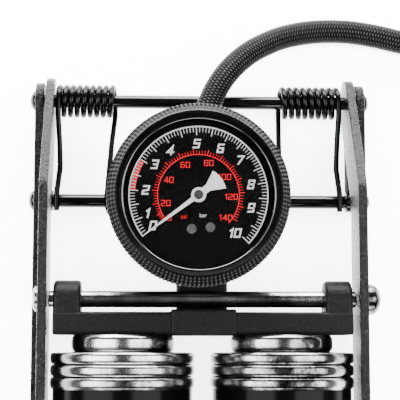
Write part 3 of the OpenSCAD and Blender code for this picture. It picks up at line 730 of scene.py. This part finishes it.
port_r = 2.5
collar_from, cap_from, cap_floor, barrel_from, cap_to = 96.5, 103, 106, 115, 117
barrel_r, barrel_wall = 27, 1.5
for side in ("left", "right"):
    middle = barrel_axis(side)

    # collar between the head and the cap
    t = np.linspace(-1, 1, 25)
    half_length = (cap_from - collar_from) / 2
    waist = np.stack([20 - 1.1 * np.abs(t) ** 3.5, collar_from + half_length * (1 + t)], -1)
    outline = np.vstack([[(port_r, collar_from)], waist, [(port_r, cap_from)]])
    piece = turned("chrome_collar_" + side, along_pump(outline), middle, "y", chrome, 96)
    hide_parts("collar_" + side)
    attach(piece, "cylinders")

    # cap with three rolled ribs
    ribs, valley, crest, fullness = 3, 26.5, 28.0, 2.6
    t = np.linspace(0, ribs, 97)[:-4]
    bulge = (1 - np.abs(2 * (t % 1) - 1) ** fullness) ** (1 / fullness)
    face = np.stack([valley + (crest - valley) * bulge,
                     cap_from + (cap_to - cap_from) / ribs * t], -1)
    socket_r, bore = barrel_r + 0.02, barrel_r - barrel_wall
    outline = np.vstack([[(port_r, cap_from), (24.6, cap_from), (25.8, cap_from + 0.25)],
                         face[2:], [(27.5, cap_to), (socket_r, cap_to), (socket_r, barrel_from),
                                    (bore, barrel_from), (bore, cap_floor),
                                    (port_r, cap_floor)]])
    piece = turned("ribbed_cap_" + side, along_pump(outline), middle, "y", chrome, 128)
    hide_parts("head_cap_" + side)
    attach(piece, "cylinders")


# ------------------------------------------------------------
# Barrels: drawn steel tubes in gloss black enamel. Each stands in the socket of its chrome cap,
# and a moulded cap with a hole for the piston rod closes the other end.
barrel_enamel = enamel("barrel_enamel", grey(0.0003), 0.12, 0.02, 0.005)
barrel_to, end_from, end_to, bevel = 234, 231, 238, 0.3
for side in ("left", "right"):
    middle = barrel_axis(side)
    outline = [(bore, barrel_from), (barrel_r - bevel, barrel_from),
               (barrel_r, barrel_from + bevel), (barrel_r, barrel_to - bevel),
               (barrel_r - bevel, barrel_to), (bore, barrel_to)]
    piece = turned("enamel_barrel_" + side, along_pump(outline), middle, "y", barrel_enamel, 128)
    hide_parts("barrel_" + side)
    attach(piece, "cylinders")
    end_r, hole_r = 28, 6.5
    outline = np.vstack([
        [(socket_r, end_from), (end_r - 0.4, end_from), (end_r, end_from + 0.4)],
        rounded([(end_r, end_to - 2), (end_r, end_to), (end_r - 2, end_to)], 1.8)[5:-5],
        [(9, end_to), (8.6, end_to - 0.6), (hole_r, end_to - 0.6), (hole_r, barrel_to),
         (socket_r, barrel_to)]])
    piece = turned("moulded_cap_" + side, along_pump(outline), middle, "y", moulding, 96)
    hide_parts("end_cap_" + side)
    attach(piece, "cylinders")


# ------------------------------------------------------------
# Head manifold: a matt black casting. A crossbar with a pivot ear at each end joins the two
# cylinders, and a neck carries the gauge and the hose.
def box_outline(a0, a1, b0, b1, radius):
    """A rectangle from (a0, b0) to (a1, b1) with its corners cut to arcs."""
    return rounded([(a0, b0), (a1, b0), (a1, b1), (a0, b1)], radius)


# the lighter colour is the painted glint on the grain tops
casting = powder_coat("manifold_casting", grey(0.0007), grey(0.0018), 0.8, 0.36, 0.04, 0.0002)
bar_half, ear_from, boss_half, neck_half = 57.6, 47, 12.5, 10
ear_y, ear_z, ear_r = y0 - 82.7, 38.5, 7.25
parts = [slab("bar", box_outline(y0 - 96.5, y0 - 87.7, 22, 46, 1.6), -bar_half, bar_half, "x",
              casting, 0.8),
         slab("boss", box_outline(y0 - 96.8, y0 - 86.7, neck_low, 46.8, 1.2), -boss_half,
              boss_half, "x", casting, 0.7)]
ear = np.vstack([disc(ear_y, ear_z, ear_r, -90, 90, 20),
                 [(y0 - 90, ear_z + ear_r), (y0 - 90, ear_z - ear_r)]])
for near, far in ((-bar_half, -ear_from), (ear_from, bar_half)):
    parts.append(slab("ear", ear, near, far, "x", casting, 1.4))
parts.append(slab("neck", box_outline(-neck_half, neck_half, neck_low, 32, 1.5)[:, ::-1],
                  y0 - 88, y0 - 36, "y", casting, 0.6))
manifold = together("manifold", parts)
clean(manifold)
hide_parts("head_manifold")
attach(manifold, "cylinders")


# ------------------------------------------------------------
# Gauge: pressed case, knurled bezel crimped over the glass, printed dial, needle. The knurl is
# cut into the sloping face; a smooth ring slopes down to the glass.
low, high = lines_of("gauge_bezel")
gauge_x, gauge_y = (low[0] + high[0]) / 2, (low[1] + high[1]) / 2
bezel_r = (high[0] - low[0]) / 2
gauge = (gauge_x * mm, gauge_y * mm, 0)
bezel_metal = Finish("bezel_metal", Specular_IOR_Level=0.05)
# painted highlight: the knurl's crests are painted lighter than its grooves, standing in for the
# light they catch
crests = bezel_metal.node("ShaderNodeAttribute", {"attribute_name": "crest"}, output=2)
painted_crest_highlight = bezel_metal.node("ShaderNodeValToRGB", {"stops": [(0.45, grey(0)), (0.95, grey(1))]},
                        {"Fac": crests})
bezel_metal.feed("Base Color", bezel_metal.blend(painted_crest_highlight * (bezel_metal.noise(500) + 0.3),
                                                 grey(0.0003), (0.026, 0.026, 0.0265)))
bezel_metal.dull(500, 0.15, 0.25)
case_top = 56.0
ridges, columns_per_ridge, cuts, knurl_depth = 130, 6, 3, 0.75
slope_rows, side_rows, first_row = 28, 6, 2
t = np.linspace(0, 1, slope_rows)
case_r = bezel_r - 2
knurl_face = np.stack([bezel_r - 3.3 * t, case_top + 0.5 + 4.3 * t], -1)
side_face = np.stack([np.full(side_rows, bezel_r),
                      np.linspace(case_top - 6.4, case_top + 0.3, side_rows)], -1)
inner_face = np.array([(-3.45, 5.1), (-3.7, 5.6), (-4.1, 5.6), (-4.8, 4.7), (-5.5, 3.6), (-5.5, 2),
                       (-1.98, 2)]) + np.array([bezel_r, case_top])
profile = np.vstack([[(case_r + 0.02, case_top - 7), (bezel_r - 0.5, case_top - 7)], side_face,
                     knurl_face, inner_face])
turn = np.linspace(0, 2 * np.pi, ridges * columns_per_ridge, endpoint=False)
ridge = 0.5 - 0.5 * np.cos(ridges * turn)
side = slice(first_row, first_row + side_rows)
slope = slice(first_row + side_rows, first_row + side_rows + slope_rows)
notch = np.ones((len(profile), 1))
notch[slope, 0] = 0.5 - 0.5 * np.cos(2 * np.pi * cuts * t)
on_knurl = np.zeros((len(profile), 1))
on_knurl[side] = 0.75
on_knurl[slope, 0] = np.clip(np.minimum(t, 1 - t) * 12 + 0.35, 0, 1)
depth = knurl_depth * on_knurl * (1 - ridge * (1 - 0.85 * (1 - notch)))
radius = profile[:, :1] - depth * 0.75
height = profile[:, 1:] - depth * 0.5 * (on_knurl > 0.8)
bezel_grid = np.stack([gauge_x + radius * np.cos(turn), gauge_y + radius * np.sin(turn),
                       np.broadcast_to(height, radius.shape)], -1) * mm
bezel = skin("knurled_bezel", bezel_grid, bezel_metal, closed=True, smooth=50)
crest_height = (1 - depth / knurl_depth) * (on_knurl > 0)
crest_layer = bezel.data.attributes.new("crest", "FLOAT", "POINT")
crest_layer.data.foreach_set("value", crest_height.ravel())
clean(bezel)
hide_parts("gauge_bezel")
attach(bezel, "cylinders")

case_enamel = enamel("case_enamel", (0.001, 0.001, 0.0011), 0.2)
case_low, case_wall, stem_hole = 32, 1.5, 6.02
base_corner = [(case_r - 1.6, case_low), (case_r, case_low), (case_r, case_low + 2)]
outline = np.vstack([[(stem_hole, case_low)], rounded(base_corner, 1.5)[5:-5],
                     [(case_r, case_top), (case_r - case_wall, case_top),
                      (case_r - case_wall, case_low + case_wall),
                      (stem_hole, case_low + case_wall)]])
case = turned("pressed_case", outline, gauge, "z", case_enamel, 128)
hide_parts("gauge_case")
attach(case, "cylinders")

# glass: a clear flat disc, under a thin rubber gasket
glass = Finish("gauge_glass")
glass.tree.nodes.remove(glass.shader)
clear = glass.node("ShaderNodeBsdfTransparent")
gloss = glass.node("ShaderNodeBsdfGlossy", {}, {"Roughness": 0.02, "Color": (0.2, 0.2, 0.2, 1)})
edge_on = glass.node("ShaderNodeFresnel", {}, {"IOR": 1.3})
mixed = glass.node("ShaderNodeMixShader", {}, {0: edge_on, 1: clear, 2: gloss})
glass.tree.links.new(mixed.socket, glass.tree.nodes["Material Output"].inputs["Surface"])
dress(glass, "gauge_lens")

gasket_rubber = enamel("gasket_rubber", grey(0.001), 0.06, 0.5, 0.15)
gasket_r = 0.5
a = np.radians(np.linspace(0, 360, 16, endpoint=False))
gasket = turned("lens_gasket", np.stack([bezel_r - 6.05 + gasket_r * np.cos(a),
                                         case_top + 2.5 + gasket_r * np.sin(a)], -1),
                gauge, "z", gasket_rubber, 160)
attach(gasket, "cylinders")

dial_black = Finish("dial_black", Specular_IOR_Level=0.03)
dial_black.mottle(900, grey(0.0001), grey(0.0002)).dull(200, 0.1, 0.3)
dress(dial_black, "gauge_dial")


def ink(name, colour):
    """Screen-printed ink, a little uneven."""
    print_ink = Finish(name, Roughness=0.35, Specular_IOR_Level=0.05)
    return print_ink.mottle(1500, colour, tuple(0.88 * c for c in colour))


white_ink = ink("white_ink", grey(0.15))
red_ink = ink("red_ink", (0.17, 0.0001, 0.003))
scale_bar = [0, 1, 1.5, 2, 3, 4, 5, 6, 7, 8, 9, 10]
scale_angle = [216.7, 202, 188.9, 176.1, 148.5, 119.8, 91.9, 64, 37.4, 10.8, -16.5, -43.6]
dial_unit = 0.3793
scale_r, red_r = 69.5 * dial_unit, 41 * dial_unit
ink_top = 53.86
psi_per_bar = 14.504


def bar_angle(bar):
    """The needle's angle in degrees at this pressure; the scale is tighter below 1 bar."""
    return float(np.interp(bar, scale_bar, scale_angle))


def printed(name, strips, finish):
    """Flat ink: every strip is a pair of lines of (x, y) points round the gauge's middle, and the
    band between them is raised off the dial."""
    vertices, faces, start = [], [], 0
    for left, right in strips:
        n = len(left)
        band = np.concatenate([left, right])
        vertices += [np.c_[gauge_x + band[:, 0], gauge_y + band[:, 1], np.full(2 * n, ink_top)]]
        i = np.arange(n - 1) + start
        faces += np.stack([i, i + n, i + n + 1, i + 1], -1).tolist()
        start += 2 * n
    mesh = bpy.data.meshes.new(name)
    mesh.from_pydata((np.vstack(vertices) * mm).tolist(), [], faces)
    mesh.materials.append(finish.material)
    mesh.update()
    normals = np.empty(len(mesh.polygons) * 3)
    mesh.polygons.foreach_get("normal", normals)
    if normals.reshape(-1, 3)[:, 2].mean() < 0:
        mesh.flip_normals()
    piece = put(name, mesh)
    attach(piece, "cylinders")
    return piece


def arc_band(r0, r1, start, stop, steps=90):
    """A ring band between two radii from one angle to another, in degrees."""
    a = np.radians(np.linspace(start, stop, steps))
    ray = np.stack([np.cos(a), np.sin(a)], -1)
    return r0 * ray, r1 * ray


def tick(r0, r1, degrees, width):
    """A straight mark along the ray at this angle, from r0 to r1."""
    a = math.radians(degrees)
    ray, across = np.array([math.cos(a), math.sin(a)]), np.array([-math.sin(a), math.cos(a)])
    ends = np.array([r0 * ray, r1 * ray])
    return ends - across * width / 2, ends + across * width / 2


FIGURES = {
    "0": [[(0, 0), (1, 0), (1, 1.5), (0, 1.5), (0, 0)]],
    "1": [[(0.2, 1.2), (0.55, 1.5), (0.55, 0)]],
    "2": [[(0, 1.5), (1, 1.5), (1, 0.78), (0, 0.62), (0, 0), (1, 0)]],
    "3": [[(0, 1.5), (1, 1.5), (1, 0), (0, 0)], [(0.3, 0.75), (1, 0.75)]],
    "4": [[(0.8, 0), (0.8, 1.5), (0, 0.42), (1.15, 0.42)]],
    "5": [[(1, 1.5), (0, 1.5), (0, 0.8), (1, 0.8), (1, 0), (0, 0)]],
    "6": [[(0.95, 1.5), (0, 1.5), (0, 0), (1, 0), (1, 0.8), (0, 0.8)]],
    "7": [[(0, 1.5), (1.05, 1.5), (0.3, 0)]],
    "8": [[(0, 0), (1, 0), (1, 1.5), (0, 1.5), (0, 0)], [(0, 0.77), (1, 0.77)]],
    "9": [[(0.05, 0), (1, 0), (1, 1.5), (0, 1.5), (0, 0.7), (1, 0.7)]],
    "b": [[(0, 1.5), (0, 0), (0.9, 0), (0.9, 0.9), (0, 0.9)]],
    "a": [[(0, 0.9), (0.9, 0.9), (0.9, 0), (0, 0), (0, 0.5), (0.9, 0.5)]],
    "r": [[(0, 0), (0, 0.9), (0.7, 0.9)]],
    "p": [[(0, -0.5), (0, 0.9), (0.9, 0.9), (0.9, 0), (0, 0)]],
    "s": [[(0.9, 0.9), (0, 0.9), (0, 0.45), (0.9, 0.45), (0.9, 0), (0, 0)]],
    "i": [[(0, 0), (0, 0.9)], [(0, 1.2), (0, 1.45)]],
}


def stroke(points, width):
    """A line of even width with mitred corners: each point is moved to both sides along the sum
    of its neighbours' normals, divided by their dot product plus one."""
    p = np.asarray(points, float)
    d = np.diff(p, axis=0)
    d /= np.linalg.norm(d, axis=1)[:, None]
    n = np.stack([-d[:, 1], d[:, 0]], -1)
    closed = np.allclose(p[0], p[-1])
    n0 = np.vstack([n[-1] if closed else n[0], n])
    n1 = np.vstack([n, n[0] if closed else n[-1]])
    shift = (n0 + n1) / (1 + np.sum(n0 * n1, 1))[:, None] * width / 2
    if not closed:
        p = p.copy()
        p[0] -= d[0] * width / 2
        p[-1] += d[-1] * width / 2
    return p - shift, p + shift


def figures(text, centre, height, weight, slant=0, squeeze=1):
    """Square-cut figures, centred on a point: x is sheared by slant times y and squeezed."""
    tall, advance, narrow = 1.5, 1.5, 1.15
    wide = sum(narrow if c in "1i" else advance for c in text) - (advance - 1)
    strips, pen = [], -wide / 2
    for c in text:
        for line in FIGURES[c]:
            left, right = stroke(line, weight)
            for band in (left, right):
                band += np.array([pen, -tall / 2])
                band[:, 0] += slant * band[:, 1]
                band *= np.array([squeeze, 1]) * height / (tall + weight)
                band += np.array(centre)
            strips.append((left, right))
        pen += narrow if c in "1i" else advance
    return strips


def polar(radius, degrees):
    """The point at this radius and angle from the gauge's middle."""
    return (radius * math.cos(math.radians(degrees)), radius * math.sin(math.radians(degrees)))


white = [arc_band(scale_r - 0.24, scale_r + 0.24, 217.4, -44.3)]
small_marks = np.r_[np.arange(0.2, 1, 0.2), np.arange(1.1, 10, 0.1)]
for bar in small_marks:
    if abs(bar * 2 - round(bar * 2)) > 0.01:
        white.append(tick(scale_r - 2.2, scale_r, bar_angle(bar), 0.21))
for bar in np.r_[0, np.arange(1, 10.1, 0.5)]:
    white.append(tick(scale_r - 3.35, scale_r, bar_angle(bar), 0.33))
white_places = [(55, 214.3), (54.4, 200), (53, 174.9), (53.5, 145), (53, 122.4), (52, 92),
                (52.3, 64.9), (55, 40.4), (54, 11.7), (54.4, -13.4), (52.5, -46.4)]
for bar, (reach, degrees) in enumerate(white_places):
    white += figures(str(bar), polar(reach * dial_unit, degrees), 3.6, 0.33, slant=0.22)
white += figures("bar", (1.9, -7.7), 1.5, 0.2, squeeze=0.78)
printed("white_scale", white, white_ink)

red = [arc_band(red_r - 0.16, red_r + 0.16, 216.0, -43.0)]
for psi in range(0, 141, 2):
    length, width = (2.2, 0.26) if psi % 10 == 0 else (1.5, 0.2)
    red.append(tick(red_r, red_r + length, bar_angle(psi / psi_per_bar), width))
red_places = [(37, 218.3), (33.8, 194.2), (33.4, 153.3), (33.2, 113.8), (34, 72.5), (31.8, 35.4),
              (32.6, -2.8), (35.1, -40)]
for step, (reach, degrees) in enumerate(red_places):
    red += figures(str(20 * step), polar(reach * dial_unit, degrees), 2.3, 0.23)
for bar in np.arange(2.05, 3, 0.1):
    red.append(arc_band(scale_r - 2.3, scale_r - 0.45, bar_angle(bar - 0.03),
                        bar_angle(bar + 0.03), 3))
red += figures("psi", (-5.35, -8.2), 1.5, 0.2, squeeze=0.78)
printed("red_scale", red, red_ink)

# needle: a pressed strip with a fan tail, painted pale, on a turned hub and its arbor
needle_metal = Finish("needle_metal", Specular_IOR_Level=0.1)
needle_metal.mottle(300, grey(0.13), grey(0.17)).dull(260, 0.15, 0.35)
zero = math.radians(scale_angle[0])
tail_length = 10.7
a = np.radians(np.linspace(-23, 23, 9))
fan = np.stack([-tail_length * np.cos(a), tail_length * np.sin(a)], -1)
flat = np.vstack([[(26, -0.16), (26, 0.16), (4, 0.8), (0, 1.3), (-4.5, 1.45)],
                  fan[::-1], [(-4.5, -1.45), (0, -1.3), (4, -0.8)]])
spun = np.stack([gauge_x + flat[:, 0] * math.cos(zero) - flat[:, 1] * math.sin(zero),
                 flat[:, 0] * math.sin(zero) + flat[:, 1] * math.cos(zero) + gauge_y], -1)
parts = [slab("strip", spun, 54.4, 54.9, "z", needle_metal, 0.12)]
hub = rounded([(0, 54.0), (2.85, 54.0), (2.85, 55.3), (2.3, 55.5), (1.9, 55.1), (0, 55.1)], 0.15)
parts.append(turned("hub", hub, gauge, "z", needle_metal, 48))
parts.append(turned("arbor", [(0, 44), (0.8, 44), (0.8, 54.1), (0, 54.1)], gauge, "z",
                    needle_metal, 16))
needle = together("needle", parts)
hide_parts("gauge_pointer")
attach(needle, "pointer")
hub_dark = Finish("hub_dark", Roughness=0.3, Specular_IOR_Level=0.03)
hub_dark.mottle(500, grey(0.002), grey(0.012))
boss = turned("hub_centre", rounded([(0, 55.05), (1.85, 55.05), (1.7, 55.35), (0, 55.45)], 0.1),
              gauge, "z", hub_dark, 32)
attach(boss, "pointer")


# ------------------------------------------------------------
# Pedal end and the pieces inside: stamped and plated steel with a rubber tread and feet, nylon
# pistons with rubber seals on plated rods, and a brass tube movement screwed to its stem. Each
# keeps its CAD shape under its own finish.
steel = Finish("zinc_plated_steel", Metallic=1.0)
steel.mottle(250, grey(0.5), (0.68, 0.68, 0.67)).dull(180, 0.3, 0.2)
rubber = Finish("moulded_rubber", Specular_IOR_Level=0.05)
rubber.mottle(80, grey(0.0008), grey(0.0025), 3).dull(300, 0.2, 0.65)
rubber.bump(rubber.noise(2200, 2), 0.00005, 0.6)
nylon = Finish("white_nylon", Roughness=0.4)
nylon.mottle(120, (0.7, 0.69, 0.65), (0.78, 0.77, 0.74))
brass = Finish("drawn_brass", Metallic=1.0)
brass.mottle(200, (0.62, 0.42, 0.14), (0.75, 0.55, 0.24)).dull(150, 0.2, 0.22)
screw_steel = Finish("screw_steel", Metallic=1.0)
screw_steel.mottle(700, grey(0.012), grey(0.08)).dull(400, 0.2, 0.35)
dress(frame_coat, "rear_bracket", "pedal_plate")
dress(steel, "rear_axle", "latch_clip", "latch_pin", "pedal_rivets", "connector_pin",
      "piston_rod_left", "piston_rod_right", "piston_nuts")
dress(nylon, "piston_left", "piston_right", "guide_bush_left", "guide_bush_right")
dress(rubber, "piston_seal_left", "piston_seal_right", "outlet_valve", "foot_pads", "pedal_pad",
      "connector_seal")
dress(brass, "gauge_stem", "bourdon_tube", "gauge_movement")
dress(screw_steel, "dial_screws")
dress(aluminium, "hose_port")


# ------------------------------------------------------------
# Floor: matt white board, evenly lit. It glows a little by itself, so that it stays white under
# lights that are low enough for the blacks.
floor_finish = Finish("studio_floor", Roughness=0.9, Emission_Strength=3.5)
floor_finish.mottle(3, grey(0.86), grey(0.88))
floor_finish.feed("Emission Color", floor_finish.blend(floor_finish.noise(5), grey(0.97), grey(1)))
floor_mesh.materials.append(floor_finish.material)
